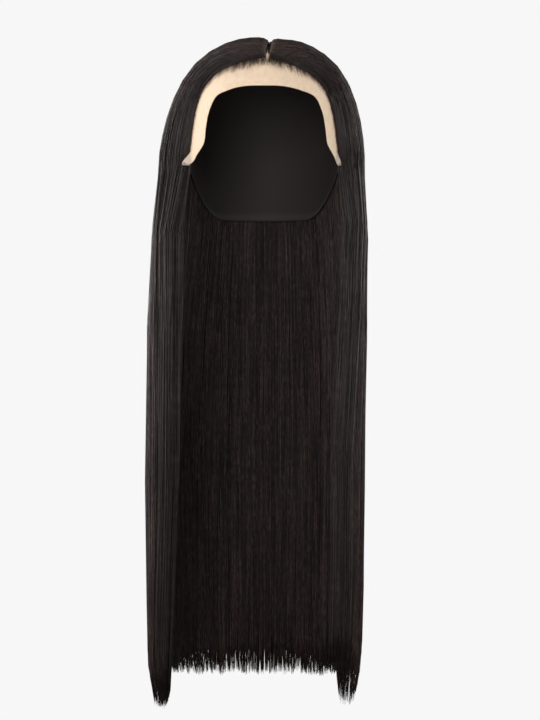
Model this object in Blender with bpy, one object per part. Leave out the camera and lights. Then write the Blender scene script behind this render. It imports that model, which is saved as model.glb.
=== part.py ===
"""Lace front wig with long, straight, centre-parted hair.

Metres, +Z up. The origin is the inside of the cap at the top of the head. The face looks
along -Y, so the wearer's left is at +X. The hair is combed from the part line to both
sides and hangs down past the shoulders to one level cut.

Places on the head are written as shares: a flat map of the head seen from above, where
(0, 0) is the top of the head, the distance from it is the share of the way down to the
tops of the ears, and +y is the back of the head.
"""
import math

import bmesh
import bpy
import numpy as np

# The head that the cap fits
HEAD_HALF_WIDTH = 0.078
HEAD_HALF_DEPTH = 0.098
HEAD_DOME_HEIGHT = 0.125        # from the top of the head down to the tops of the ears
DOME_POWER = 2.3                # 2 is an ellipse, and a head is a little squarer

# The cap: a lace panel in front and on top, a net behind
LACE_THICKNESS = 0.001
NET_THICKNESS = 0.0012
HEM_THICKNESS = 0.0022
NET_TAPER = 0.10                # how much the net draws in for each metre below the ears
SEAM_BACK = 0.25                # share behind the top of the head where lace meets net
SEAM_BOW = 0.22                 # share by which the seam comes forward at the ears
SEAM_GAP = 0.0025               # share
NET_SIDE = 0.97                 # the net's corner at the ear, as a share of the seam's half
NAPE_SHARE = 1.27
EAR_SHARE = 0.985
NAPE_CORNER = math.radians(35.0)
EAR_AZIMUTH = math.radians(88.0)
TAB_FLARE = {-1: 0.009, 1: 0.004}       # how far the ear tabs' points stand off the head
TAB_HEIGHTS = (-0.1145, -0.1236)        # the flare grows down the tab
TAB_FRONT = (math.radians(118.0), math.radians(107.5))  # and from its front to its point
TAB_BACK = (math.radians(106.0), math.radians(107.2))   # and stops at the hairline

# Free edge of the lace, half of it: column, degrees round from the back, height.
# The last three rows are the pinked end of the ear tab.
LACE_EDGE = (
    (0.00, 180.0, -0.0500),
    (0.16, 162.0, -0.0502),
    (0.30, 148.0, -0.0532),
    (0.42, 136.0, -0.0592),
    (0.52, 131.5, -0.0740),
    (0.63, 130.5, -0.0895),
    (0.74, 129.0, -0.1055),
    (0.84, 119.0, -0.1165),
    (0.92, 112.5, -0.1238),
    (0.96, 110.0, -0.1212),
    (1.00, 107.0, -0.1238),
)
LACE_TEETH = (0.88, 0.92, 0.96, 1.0)
LACE_TURN = math.radians(5.0)   # the wearer's left edge sits this much further back
LACE_TURN_GROWS = (0.20, 0.45)  # columns over which that turn comes in, and goes again
LACE_TURN_FADES = (0.95, 0.80)
LACE_COLUMNS = 12               # on each half, before the teeth
LACE_ROWS = 10
LACE_ROW_POWER = 1.3            # rows lie closer together towards the free edge
NET_COLUMNS = 28
NET_ROWS = 11

# The hair over the head: how far its outer face stands from the head's centre lines
HAIR_LIFT = 0.002               # hair's inner face over the cap's
HAIR_TOP = 0.0105               # height of the hair over the origin
HAIR_LEAN = 0.0037              # the mound on top sits this far to the wearer's left
SIDES = {"right": -1, "left": 1}

# The hanging hair, by height: half-widths of its inner and outer faces to the wearer's
# right and left, then behind and in front
HANG_COLUMNS = ("height", "right_in", "right_out", "left_in", "left_out",
                "back_in", "back_out", "front_in", "front_out")
HANG = (
    (-0.125, 0.080, 0.1105, 0.0800, 0.1045, 0.100, 0.120, 0.100, 0.118),
    (-0.208, 0.083, 0.1170, 0.0820, 0.1077, 0.101, 0.124, 0.100, 0.121),
    (-0.363, 0.092, 0.1220, 0.0800, 0.1045, 0.103, 0.126, 0.101, 0.124),
    (-0.570, 0.096, 0.1210, 0.0770, 0.1025, 0.104, 0.124, 0.102, 0.124),
    (-0.643, 0.098, 0.1190, 0.0765, 0.0995, 0.105, 0.122, 0.102, 0.123),
    (-0.668, 0.099, 0.1160, 0.0765, 0.0970, 0.106, 0.120, 0.102, 0.122),
)
# Degrees round from the back to the hair's front edge, by height
FRONT_EDGE_COLUMNS = ("height", "right", "left")
FRONT_EDGE = (
    (-0.125, 104.0, 104.0),
    (-0.208, 114.0, 114.5),
    (-0.363, 124.0, 127.0),
    (-0.570, 118.5, 129.0),
    (-0.643, 115.5, 130.5),
    (-0.668, 115.0, 131.0),
)

# The part line and the flow of the hair away from it, in shares
PART_OFFSET = 0.036             # the part lies a little to the wearer's left
PART_HALF_GAP = 0.0015
PART_FRONT = -0.345
PART_BACK = 0.156
CROWN_RADIUS = 0.020            # roots fan round the back end of the part
CROWN_COMB = 0.4                # share of the comb lines that start from that fan
PARTING_PULL = 0.18             # how far a comb line leaves the part square to it
FALL_FROM = 0.70                # from here a comb line falls straight down the head

# The hairline's wave off the foremost comb line: way along it, shift to the back
HAIRLINE_WAVE = (
    (0.00, 0.000),
    (0.17, -0.030),
    (0.30, -0.026),
    (0.43, 0.015),
    (0.58, 0.066),
    (0.68, 0.020),
    (0.80, -0.042),
    (0.90, -0.040),
    (1.00, 0.000),
)
HAIRLINE_REACH = 5              # power by which the wave fades away from the hairline

# Thickness of the hair, as a share of the way from its inner to its outer face
ROOT_THICKNESS = 0.18           # at the part's front end; towards the crown it fills up
CROWN_THICKNESS = 0.75
PART_OPENS = (0.74, 0.92)       # comb lines over which the hair beside the part thins out
ROOT_RISE = {"right": 0.10, "left": 0.075}      # way along a comb line to full thickness
HAIRLINE_THICKNESS = 0.14
EDGE_BAND = 0.17                # share of the comb lines that round off to the front edge
EDGE_MIDDLE = 0.40
EDGE_HALF_WALL = 0.04
EDGE_ROUND_OVER = 0.08          # height below the ears over which the edge turns round
LOCK_GROOVE = 0.13              # depth of the grooves between locks

# Sections of hair, by share of the comb lines from the back to the front, and their locks
SECTIONS = (
    ("back", 0.00, 0.25),
    ("back_side", 0.25, 0.50),
    ("side", 0.50, 0.78),
    ("front", 0.78, 1.00),
)
LOCKS = 3
POINTS_PER_LOCK = 4
SECTION_GAP = 0.0004

# Stations along a comb line: on the head, then hanging; the last ones draw in to the ends
HEAD_STATIONS = (0.0, 0.03, 0.08, 0.16, 0.27, 0.39, 0.51, 0.63, 0.75, 0.88)
HANG_STATIONS = (
    (0.000, 1.00),
    (0.080, 1.00),
    (0.170, 1.00),
    (0.300, 1.00),
    (0.450, 1.00),
    (0.620, 1.00),
    (0.790, 1.00),
    (0.910, 1.00),
    (0.965, 0.86),
    (1.000, 0.45),
)
CUT_HEIGHT = -0.668
# How much higher each comb line is cut: a little behind the front locks, and a lot at the
# inner part of the left one
CUT_RISE_COLUMNS = ("comb", "right", "left")
CUT_RISE = (
    (0.00, 0.004, 0.004),
    (0.25, 0.007, 0.007),
    (0.45, 0.012, 0.012),
    (0.60, 0.018, 0.018),
    (0.70, 0.014, 0.014),
    (0.76, 0.002, 0.002),
    (0.80, 0.000, 0.001),
    (0.88, 0.000, 0.031),
    (1.00, 0.000, 0.033),
)
RAGGED = 0.014                  # each lock's middle hangs this much below its edges
RAGGED_FROM = 0.9
RATE_STEP = 0.001               # share of the comb lines over which their spacing is taken

HAIR_COLOUR = (0.030, 0.022, 0.020, 1.0)
LACE_COLOUR = (0.80, 0.62, 0.44, 1.0)
NET_COLOUR = (0.013, 0.011, 0.011, 1.0)
HAIR_ROUGHNESS = 0.55
LACE_ROUGHNESS = 0.80
NET_ROUGHNESS = 0.85
SHARP_ANGLE = math.radians(40.0)

EAR_HEIGHT = -HEAD_DOME_HEIGHT
CURVE_SAMPLES = 1200


def clear_scene():
    """Removes the objects that are in the scene."""
    for item in list(bpy.data.objects):
        bpy.data.objects.remove(item, do_unlink=True)


def smooth(low, high, value):
    """Goes from 0 at low to 1 at high, level at both ends."""
    share = np.clip((value - low) / (high - low), 0.0, 1.0)
    return share * share * (3.0 - 2.0 * share)


def curve_through(rows, column):
    """Gives a smooth function through one column of a table, keyed on its first column."""
    table = np.array(rows, dtype=float)
    table = table[np.argsort(table[:, 0])]
    keys, values = table[:, 0], table[:, column]
    slopes = np.gradient(values, keys)

    def value_at(key):
        key = np.clip(key, keys[0], keys[-1])
        row = np.clip(np.searchsorted(keys, key, side="right") - 1, 0, len(keys) - 2)
        span = keys[row + 1] - keys[row]
        way = (key - keys[row]) / span
        rise = values[row + 1] - values[row]
        start, end = slopes[row] * span, slopes[row + 1] * span
        bend = (start - rise) * (1.0 - way) + (rise - end) * way
        return values[row] + rise * way + way * (1.0 - way) * bend

    return value_at


HANG_AT = {name: curve_through(HANG, index) for index, name in enumerate(HANG_COLUMNS) if index}
EDGE_AT = {name: curve_through(FRONT_EDGE, index)
           for index, name in enumerate(FRONT_EDGE_COLUMNS) if index}
RISE_AT = {name: curve_through(CUT_RISE, index)
           for index, name in enumerate(CUT_RISE_COLUMNS) if index}
WAVE_AT = curve_through(HAIRLINE_WAVE, 1)


def dome_profile():
    """Tabulates the head's outline by share of its length from the top to the ears."""
    turn = np.linspace(0.0, math.pi / 2.0, CURVE_SAMPLES)
    reach = np.sin(turn) ** (2.0 / DOME_POWER)
    rise = np.cos(turn) ** (2.0 / DOME_POWER)
    mean_radius = (HEAD_HALF_WIDTH + HEAD_HALF_DEPTH) / 2.0
    steps = np.hypot(np.diff(reach) * mean_radius, np.diff(rise) * HEAD_DOME_HEIGHT)
    length = np.concatenate([[0.0], np.cumsum(steps)])
    return length / length[-1], reach, rise, length[-1]


SHARES, REACHES, RISES, DOME_LENGTH = dome_profile()


def share_at_height(height):
    """Gives the share of the way down the head at a height on the cap's inner face."""
    if height < EAR_HEIGHT:
        return 1.0 + (EAR_HEIGHT - height) / DOME_LENGTH
    return float(np.interp(-(height - EAR_HEIGHT) / HEAD_DOME_HEIGHT, -RISES, SHARES))


def on_map(azimuth, share):
    """Gives the map point at an angle round from the back of the head."""
    return np.array([share * math.sin(azimuth), share * math.cos(azimuth)])


def on_cap(map_point, offset):
    """Places a map point on the cap, a distance off its inner face."""
    share = math.hypot(map_point[0], map_point[1])
    azimuth = math.atan2(map_point[0], map_point[1])
    below = max(share - 1.0, 0.0) * DOME_LENGTH
    reach = float(np.interp(share, SHARES, REACHES)) - below * NET_TAPER
    rise = float(np.interp(share, SHARES, RISES))
    return (
        (HEAD_HALF_WIDTH + offset) * reach * math.sin(azimuth),
        (HEAD_HALF_DEPTH + offset) * reach * math.cos(azimuth),
        EAR_HEIGHT + (HEAD_DOME_HEIGHT + offset) * rise - below,
    )


def hair_face(side, height, azimuth, depth):
    """Gives the hair's half-width and half-depth at a height, at a depth into its thickness."""
    fore_and_aft = "back" if math.cos(azimuth) > 0.0 else "front"
    sizes = []
    for name in (side, fore_and_aft):
        inner = float(HANG_AT[name + "_in"](height))
        outer = float(HANG_AT[name + "_out"](height))
        sizes.append(inner + (outer - inner) * depth)
    return sizes


def on_hair(map_point, depth):
    """Places a map point in the hair over the head, at a depth into its thickness."""
    share = math.hypot(map_point[0], map_point[1])
    azimuth = math.atan2(map_point[0], map_point[1])
    side = "left" if map_point[0] > 0.0 else "right"
    half_width, half_depth = hair_face(side, EAR_HEIGHT, azimuth, depth)
    height = HEAD_DOME_HEIGHT + HAIR_LIFT + (HAIR_TOP - HAIR_LIFT) * depth
    reach = float(np.interp(share, SHARES, REACHES))
    rise = float(np.interp(share, SHARES, RISES))
    return np.array([
        half_width * reach * math.sin(azimuth) + HAIR_LEAN * rise * depth,
        half_depth * reach * math.cos(azimuth),
        EAR_HEIGHT + height * rise,
    ])


def comb_root(side, comb):
    """Gives the map point where a comb line starts, on the part line or round its back end."""
    sign = SIDES[side]
    if comb >= CROWN_COMB:
        way = (comb - CROWN_COMB) / (1.0 - CROWN_COMB)
        root = (PART_OFFSET + sign * PART_HALF_GAP, PART_BACK + (PART_FRONT - PART_BACK) * way)
        return np.array(root), np.array([sign, 0.0])
    turn = comb / CROWN_COMB * math.pi / 2.0
    heading = np.array([sign * math.sin(turn), math.cos(turn)])
    radius = PART_HALF_GAP + (CROWN_RADIUS - PART_HALF_GAP) * math.cos(turn)
    return np.array([PART_OFFSET, PART_BACK]) + radius * heading, heading


def comb_line(side, comb, way):
    """Gives a map point of one comb line, from its root to the level of the ears."""
    root, heading = comb_root(side, comb)
    azimuth = math.radians(float(EDGE_AT[side](EAR_HEIGHT))) * comb * SIDES[side]
    end = on_map(azimuth, 1.0)
    handles = (root, root + heading * PARTING_PULL, end * FALL_FROM, end)
    back = 1.0 - way
    weights = (back ** 3, 3.0 * back * back * way, 3.0 * back * way * way, way ** 3)
    point = sum(weight * handle for weight, handle in zip(weights, handles))
    point[1] += float(WAVE_AT(way)) * comb ** HAIRLINE_REACH
    return point


def cut_height(side, comb):
    """Gives the height at which a comb line is cut."""
    return CUT_HEIGHT + float(RISE_AT[side](comb))


def hair_point(side, comb, station, depth, hang):
    """Places a point of the hair on the head (hang is 0) or hanging (hang from 0 to 1)."""
    if station is not None:
        return on_hair(comb_line(side, comb, station), depth)
    height = EAR_HEIGHT + (cut_height(side, comb) - EAR_HEIGHT) * hang
    azimuth = math.radians(float(EDGE_AT[side](height))) * comb
    half_width, half_depth = hair_face(side, height, azimuth, depth)
    return np.array([
        SIDES[side] * half_width * math.sin(azimuth),
        half_depth * math.cos(azimuth),
        height,
    ])


def hair_depths(side, comb, station, hang, groove):
    """Gives the depths of the hair's inner and outer face on a comb line."""
    inner, outer = 0.0, 1.0 - LOCK_GROOVE * groove
    edge = min((1.0 - comb) / EDGE_BAND, 1.0)
    roundness = math.sqrt(1.0 - (1.0 - edge) ** 2)
    drop = hang * (EAR_HEIGHT - cut_height(side, comb))
    turned = float(smooth(0.0, EDGE_ROUND_OVER, drop))
    middle = HAIRLINE_THICKNESS + (EDGE_MIDDLE - HAIRLINE_THICKNESS) * turned
    outer = middle + (outer - middle) * roundness + EDGE_HALF_WALL * turned * (1.0 - roundness)
    inner = (middle - EDGE_HALF_WALL) * turned * (1.0 - roundness)
    if station is not None:
        risen = math.sin(math.pi / 2.0 * min(station / ROOT_RISE[side], 1.0))
        opened = float(smooth(*PART_OPENS, comb))
        root = CROWN_THICKNESS + (ROOT_THICKNESS - CROWN_THICKNESS) * opened
        outer *= root + (1.0 - root) * risen
    return inner, outer


def section_ring(side, start, end, station, hang, squeeze):
    """Gives one cross-section of a hair section: its outer face, then its inner face."""
    first, beside_first, beside_last, last = (
        hair_point(side, comb, station, 0.5, hang)
        for comb in (start, start + RATE_STEP, end - RATE_STEP, end)
    )
    start += SECTION_GAP / 2.0 * RATE_STEP / np.linalg.norm(beside_first - first)
    end -= SECTION_GAP / 2.0 * RATE_STEP / np.linalg.norm(beside_last - last)
    outer_face, inner_face = [], []
    count = LOCKS * POINTS_PER_LOCK
    for index in range(count + 1):
        comb = start + (end - start) * index / count
        groove = 1.0 - abs(math.sin(math.pi * index / POINTS_PER_LOCK))
        inner, outer = hair_depths(side, comb, station, hang, groove)
        inner = 0.5 + (inner - 0.5) * squeeze
        outer = 0.5 + (outer - 0.5) * squeeze
        raise_by = RAGGED * groove * float(smooth(RAGGED_FROM, 1.0, hang))
        for face, depth in ((outer_face, outer), (inner_face, inner)):
            point = hair_point(side, comb, station, depth, hang)
            point[2] += raise_by
            face.append(point)
    return outer_face + inner_face[::-1]


def new_object(name, mesh_data, colour, roughness):
    """Makes a named object with its own material from a closed bmesh."""
    bmesh.ops.recalc_face_normals(mesh_data, faces=mesh_data.faces)
    mesh = bpy.data.meshes.new(name)
    mesh_data.to_mesh(mesh)
    mesh_data.free()
    mesh.shade_smooth()
    mesh.set_sharp_from_angle(angle=SHARP_ANGLE)
    material = bpy.data.materials.new(name)
    material.use_nodes = True
    shader = material.node_tree.nodes["Principled BSDF"]
    shader.inputs["Base Color"].default_value = colour
    shader.inputs["Roughness"].default_value = roughness
    shader.inputs["Metallic"].default_value = 0.0
    mesh.materials.append(material)
    item = bpy.data.objects.new(name, mesh)
    bpy.context.scene.collection.objects.link(item)
    return item


def add_quad(mesh_data, corners):
    """Adds a four-sided patch as two triangles, always cut along the same diagonal."""
    first, second, third, fourth = corners
    mesh_data.faces.new((first, second, third))
    mesh_data.faces.new((first, third, fourth))


def hair_section(side, name, start, end):
    """Builds one section of hair: three locks fused side by side, from the part to the ends."""
    rings = [section_ring(side, start, end, station, 0.0, 1.0) for station in HEAD_STATIONS]
    rings += [section_ring(side, start, end, None, *station) for station in HANG_STATIONS]
    mesh_data = bmesh.new()
    rows = [[mesh_data.verts.new(point) for point in ring] for ring in rings]
    count = len(rows[0])
    for row, following in zip(rows, rows[1:]):
        for index in range(count - 1):
            add_quad(mesh_data, (row[index], row[index + 1], following[index + 1], following[index]))
        # The wall at the section's start is cut along the same diagonal as its neighbour's
        add_quad(mesh_data, (row[0], row[-1], following[-1], following[0]))
    for row in (rows[0], rows[-1]):
        for index in range(count // 2 - 1):
            across = count - 1 - index
            add_quad(mesh_data, (row[index], row[index + 1], row[across - 1], row[across]))
    return new_object("hair_%s_%s" % (side, name), mesh_data, HAIR_COLOUR, HAIR_ROUGHNESS)


def shell(name, grid, offsets, colour, roughness):
    """Builds a thin shell over the head from a grid of map points and their face offsets."""
    mesh_data = bmesh.new()
    faces = []
    for face in range(2):
        faces.append([
            [mesh_data.verts.new(on_cap(point, pair[face])) for point, pair in zip(*rows)]
            for rows in zip(grid, offsets)
        ])
    for face in faces:
        for row, following in zip(face, face[1:]):
            for index in range(len(row) - 1):
                add_quad(mesh_data, (row[index], row[index + 1], following[index + 1], following[index]))
    inner, outer = faces
    rim = rim_order(len(grid), len(grid[0]))
    for here, there in zip(rim, rim[1:] + rim[:1]):
        corners = (outer[here[0]][here[1]], outer[there[0]][there[1]],
                   inner[there[0]][there[1]], inner[here[0]][here[1]])
        add_quad(mesh_data, corners)
    return new_object(name, mesh_data, colour, roughness)


def rim_order(rows, columns):
    """Lists the grid places along a grid's rim, in order."""
    top = [(0, column) for column in range(columns)]
    right = [(row, columns - 1) for row in range(1, rows)]
    bottom = [(rows - 1, column) for column in range(columns - 2, -1, -1)]
    left = [(row, 0) for row in range(rows - 2, 0, -1)]
    return top + right + bottom + left


def seam_point(column):
    """Gives the map point of the seam between lace and net, at a column from -1 to 1."""
    return np.array([column, SEAM_BACK - SEAM_BOW * column * column])


def tab_bend(map_point):
    """Gives the share of an ear tab's flare at a map point."""
    azimuth = abs(math.atan2(map_point[0], map_point[1]))
    bend = smooth(*TAB_HEIGHTS, on_cap(map_point, 0.0)[2])
    return float(bend * smooth(*TAB_FRONT, azimuth) * smooth(*TAB_BACK, azimuth))


def lace_front():
    """Builds the lace panel, from its free edge over the forehead to the seam."""
    azimuth_at = curve_through(LACE_EDGE, 1)
    height_at = curve_through(LACE_EDGE, 2)
    half = [LACE_TEETH[0] * index / LACE_COLUMNS for index in range(LACE_COLUMNS)] + list(LACE_TEETH)
    columns = [-column for column in half[:0:-1]] + half
    grid, offsets = [], []
    for row in range(LACE_ROWS + 1):
        way = (row / LACE_ROWS) ** LACE_ROW_POWER
        map_row, offset_row = [], []
        for column in columns:
            size, sign = abs(column), math.copysign(1.0, column)
            azimuth = math.radians(float(azimuth_at(size)))
            if sign > 0.0:
                turned = smooth(*LACE_TURN_GROWS, size) * smooth(*LACE_TURN_FADES, size)
                azimuth -= LACE_TURN * float(turned)
            azimuth *= sign
            edge = on_map(azimuth, share_at_height(float(height_at(size))))
            point = edge + (seam_point(column) - edge) * way
            map_row.append(point)
            flare = TAB_FLARE[int(sign)] * tab_bend(point)
            offset_row.append((flare, flare + LACE_THICKNESS))
        grid.append(map_row)
        offsets.append(offset_row)
    return shell("lace_front", grid, offsets, LACE_COLOUR, LACE_ROUGHNESS)


def cap_net():
    """Builds the net that holds the back of the head, from the seam to the nape's hem."""
    grid, offsets = [], []
    for row in range(NET_ROWS + 1):
        way = row / NET_ROWS
        hem = HEM_THICKNESS - NET_THICKNESS if row >= NET_ROWS - 1 else 0.0
        map_row, offset_row = [], []
        for index in range(NET_COLUMNS + 1):
            column = NET_SIDE * (2.0 * index / NET_COLUMNS - 1.0)
            azimuth = EAR_AZIMUTH * column
            rise = float(smooth(NAPE_CORNER, EAR_AZIMUTH, abs(azimuth)))
            rim = on_map(azimuth, NAPE_SHARE + (EAR_SHARE - NAPE_SHARE) * rise)
            start = seam_point(column) + np.array([0.0, SEAM_GAP])
            map_row.append(start + (rim - start) * way)
            offset_row.append((-hem, NET_THICKNESS))
        grid.append(map_row)
        offsets.append(offset_row)
    return shell("cap_net", grid, offsets, NET_COLOUR, NET_ROUGHNESS)


def main():
    clear_scene()
    lace_front()
    cap_net()
    for side in SIDES:
        for name, start, end in SECTIONS:
            hair_section(side, name, start, end)


main()
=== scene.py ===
"""Looks of a lace front wig with long, straight, soft black hair.

Metres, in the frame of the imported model: +Z up, the origin at the inside of the cap on
top of the head, the face along -Y and the wearer's left at +X.

A place on the head is a point of a flat map: (0, 0) is the top of the head, the distance
from it is the share of the way down to the tops of the ears, and +y is the back. Hair
follows comb lines, numbered from 0 at the middle of the back to 1 at the front edge. The
travel along one is 0 at its root, 1 at the level of the ears and 2 at the cut.
"""
import math

import bmesh
import bpy
import numpy as np
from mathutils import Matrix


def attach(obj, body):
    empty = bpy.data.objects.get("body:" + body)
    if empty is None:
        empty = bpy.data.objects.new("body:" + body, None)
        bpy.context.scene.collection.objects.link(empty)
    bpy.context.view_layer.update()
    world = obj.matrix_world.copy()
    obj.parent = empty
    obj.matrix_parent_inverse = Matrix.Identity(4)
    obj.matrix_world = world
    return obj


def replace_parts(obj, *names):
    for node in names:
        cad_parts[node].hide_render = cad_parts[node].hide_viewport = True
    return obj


# The wearer's head, and the cap on it
HEAD_HALF_WIDTH = 0.078
HEAD_HALF_DEPTH = 0.098
HEAD_DOME_HEIGHT = 0.125
DOME_POWER = 2.3
EAR_HEIGHT = -HEAD_DOME_HEIGHT
LACE_THICKNESS = 0.0006
NET_THICKNESS = 0.0010
HEM_THICKNESS = 0.0019
CAP_CLEARANCE = 0.0002          # between the head and the lace
NET_TAPER = 0.10                # how fast the net draws in below the ears
SEAM_BACK = 0.25                # of the seam between lace and net, behind the top of the head
SEAM_BOW = 0.22
SEAM_OVERLAP = 0.004
NET_OVER_LACE = 0.0009
NET_LIES_DOWN = 0.03            # share of the net over which it comes down off the lace
HEM_FROM = (0.945, 0.955)       # share of the net, from its seam down, where the hem starts
NET_SIDE = 0.97
NAPE_SHARE = 1.27
EAR_SHARE = 0.985
NAPE_CORNER = math.radians(35.0)
EAR_AZIMUTH = math.radians(88.0)
TAB_FLARE = {-1: 0.009, 1: 0.004}
TAB_HEIGHTS = (-0.1080, -0.1236)
TAB_FRONT = (math.radians(118.0), math.radians(107.5))
TAB_BACK = (math.radians(106.0), math.radians(107.2))

# Free edge of the lace, half of it: column, degrees round from the back, height.
# The last three rows are the pinked end of the ear tab.
LACE_EDGE = (
    (0.00, 180.0, -0.0500),
    (0.16, 162.0, -0.0502),
    (0.30, 148.0, -0.0532),
    (0.42, 136.0, -0.0592),
    (0.52, 131.5, -0.0740),
    (0.63, 130.5, -0.0895),
    (0.74, 129.0, -0.1055),
    (0.84, 119.0, -0.1165),
    (0.92, 112.5, -0.1238),
    (0.96, 110.0, -0.1212),
    (1.00, 107.0, -0.1238),
)
LACE_TURN = math.radians(5.0)   # by which the left side's edge lies further back
LACE_TURN_FROM = (0.2, 0.45)
LACE_TURN_TO = (0.95, 0.8)
LACE_ROW_POWER = 1.3            # brings the rows closer to the free edge
KNOTS_REACH = (-0.9, 1.2)       # where knots start and are dense, in lengths of the baby hairs there
PART_KNOTS = (0.0008, 0.0030)   # metres beside the part over which knots get dense
PART_KNOTS_SHARE = 0.40         # of the knots, left at the part itself
LACE_GRID = (176, 64)
NET_GRID = (96, 56)

# The hair's outer and inner faces. Depth is 0 at the inner face and 1 at the outer.
HAIR_LIFT = 0.002
HAIR_TOP = 0.0105
HAIR_LEAN = 0.0037
SIDES = {"right": -1, "left": 1}
HANG_COLUMNS = ("height", "right_in", "right_out", "left_in", "left_out",
                "back_in", "back_out", "front_in", "front_out")
HANG = (
    (-0.125, 0.080, 0.1105, 0.0800, 0.1045, 0.100, 0.120, 0.100, 0.118),
    (-0.208, 0.083, 0.1170, 0.0820, 0.1077, 0.101, 0.124, 0.100, 0.121),
    (-0.363, 0.092, 0.1220, 0.0800, 0.1045, 0.103, 0.126, 0.101, 0.124),
    (-0.570, 0.096, 0.1210, 0.0770, 0.1025, 0.104, 0.124, 0.102, 0.124),
    (-0.643, 0.098, 0.1190, 0.0765, 0.0995, 0.105, 0.122, 0.102, 0.123),
    (-0.668, 0.099, 0.1160, 0.0765, 0.0970, 0.106, 0.120, 0.102, 0.122),
)
FRONT_EDGE_COLUMNS = ("height", "right", "left")
FRONT_EDGE = (
    (-0.125, 104.0, 104.0),
    (-0.208, 114.0, 114.5),
    (-0.363, 124.0, 127.0),
    (-0.570, 118.5, 129.0),
    (-0.643, 115.5, 130.5),
    (-0.668, 115.0, 131.0),
)
PART_OFFSET = 0.025             # 2 mm nearer the middle than in the solids
PART_HALF_GAP = 0.0015
PART_SHOWS = 0.0042             # by which each side of the part draws back at its front end
PART_FRONT = -0.345
PART_BACK = 0.156
CROWN_RADIUS = 0.020
CROWN_COMB = 0.4
PARTING_PULL = 0.18
FALL_FROM = 0.70
HAIRLINE_WAVE = (
    (0.00, 0.000),
    (0.17, -0.030),
    (0.30, -0.026),
    (0.43, 0.015),
    (0.58, 0.066),
    (0.68, 0.020),
    (0.80, -0.042),
    (0.90, -0.040),
    (1.00, 0.000),
)
HAIRLINE_REACH = 5              # power of comb by which those waves die away behind the hairline
PART_OPENS = (0.77, 0.92)       # comb over which the part opens towards its front end
# Share of the hair's thickness at its root, by comb: it lies low where the part shows
ROOT_THICKNESS = (
    (0.00, 0.88),
    (0.40, 0.88),
    (0.50, 0.64),
    (0.62, 0.58),
    (0.72, 0.68),
    (0.78, 0.80),
    (0.82, 0.70),
    (0.87, 0.42),
    (0.92, 0.22),
    (1.00, 0.20),
)
ROOT_RISE = {"right": 0.10, "left": 0.075}  # travel over which the hair gains its thickness
FRONT_RISE = 0.22               # the same towards the hairline, where the hair rises gently
HAIRLINE_THICKNESS = 0.14
EDGE_BAND = 0.17                # comb over which the hair's front edge is rounded
EDGE_MIDDLE = 0.40              # depth of that edge where the hair hangs
EDGE_HALF_WALL = 0.04
EDGE_ROUND_OVER = 0.08          # metres below the ears over which the edge takes that form
SECTIONS = (("back", 0.0, 0.25), ("back_side", 0.25, 0.5), ("side", 0.5, 0.78), ("front", 0.78, 1.0))
CUT_HEIGHT = -0.668
CUT_RISE_COLUMNS = ("comb", "right", "left")
CUT_RISE = (
    (0.00, 0.004, 0.004),
    (0.25, 0.007, 0.007),
    (0.45, 0.012, 0.012),
    (0.60, 0.018, 0.018),
    (0.70, 0.014, 0.014),
    (0.76, 0.002, 0.002),
    (0.80, 0.000, 0.001),
    (0.88, 0.000, 0.031),
    (1.00, 0.000, 0.033),
)

# How the hair sits on the head: share of its full thickness, by travel
SIT_COLUMNS = ("travel", "right", "left")
SIT = (
    (0.00, 0.66, 0.70),
    (0.02, 0.68, 0.79),
    (0.04, 0.74, 0.83),
    (0.06, 0.82, 0.80),
    (0.08, 0.88, 0.78),
    (0.105, 0.91, 0.79),
    (0.13, 0.95, 0.83),
    (0.155, 0.985, 0.90),
    (0.18, 1.01, 0.94),
    (0.21, 1.04, 0.97),
    (0.28, 1.04, 0.985),
    (0.36, 1.02, 1.00),
    (0.50, 0.96, 1.00),
    (0.65, 0.92, 0.97),
    (0.80, 0.94, 0.97),
    (0.93, 1.00, 1.00),
    (1.00, 1.00, 1.00),
)
RIM_POWER = 0.7                 # softens the rounding of the hair's front edge on the head
RIM_SINKS = 0.12                # share of the thickness by which that edge settles on the lace
# Comb in front of the long hair that only short hairs cover, by travel
HAIRLINE_BARE = (
    (0.00, 0.060),
    (0.15, 0.054),
    (0.30, 0.042),
    (0.45, 0.032),
    (0.60, 0.022),
    (0.80, 0.008),
    (1.00, 0.000),
)
BODY_BARE = 0.014               # comb more than that which the bodies leave free, under the strands
BARE_FROM = 0.84                # comb from which the hair draws back to leave it free
PAINTED_SHADE_COMBS = (0.86, 0.97)      # comb and travel over which painted shade darkens the hair beside the face
PAINTED_SHADE_TRAVEL = (0.12, 0.35)

# Fine work on the hair
HAIR_SEED = 28
LOCK_DEPTH = 0.05               # grooves between locks, as a share of the thickness
WISP_DEPTH = 0.035
LOCK_COUNT = 12.0               # locks and wisps on each side of the head
WISP_COUNT = 61.0
BODY_COLUMNS = 44               # of faces across a section's body
BODY_ROWS = 60
BODY_ROW_POWER = 0.85           # brings the rows closer where the hair hangs
BODY_INSET = 0.002              # share of a section by which its body ends short of it
BODY_SINK = 0.11                # the body lies this share of the thickness under the strands
BODY_SINK_INSIDE = 0.6          # times that at its inner face
BODY_THINS = (1.88, 1.955)      # travel over which the body thins out between the ends
BODY_END = 0.88                 # share of its thickness that it loses there
STRAND_TRAVEL = (0.0, 0.025, 0.06, 0.10, 0.15, 0.21, 0.28, 0.36, 0.45, 0.54, 0.63, 0.72,
                 0.81, 0.90, 1.0, 1.12, 1.32, 1.60, 1.84, 1.94, 2.0)
STRANDS_PER_SECTION = 680
STRAND_RADIUS = (0.00024, 0.00056)
TAPER_TRAVEL = (0.0, 0.05, 1.84, 1.94, 2.0)
STRAND_TAPER = (0.45, 1.0, 1.0, 0.85, 0.25)
OUTER_LAYER = 0.09              # thickness of the layers of strands, as shares of the hair's
MIDDLE_LAYER = 0.10
INNER_LAYER = 0.10
MIDDLE_OUTWARD = 0.55           # share of the middle strands that lie under the outer face
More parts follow.
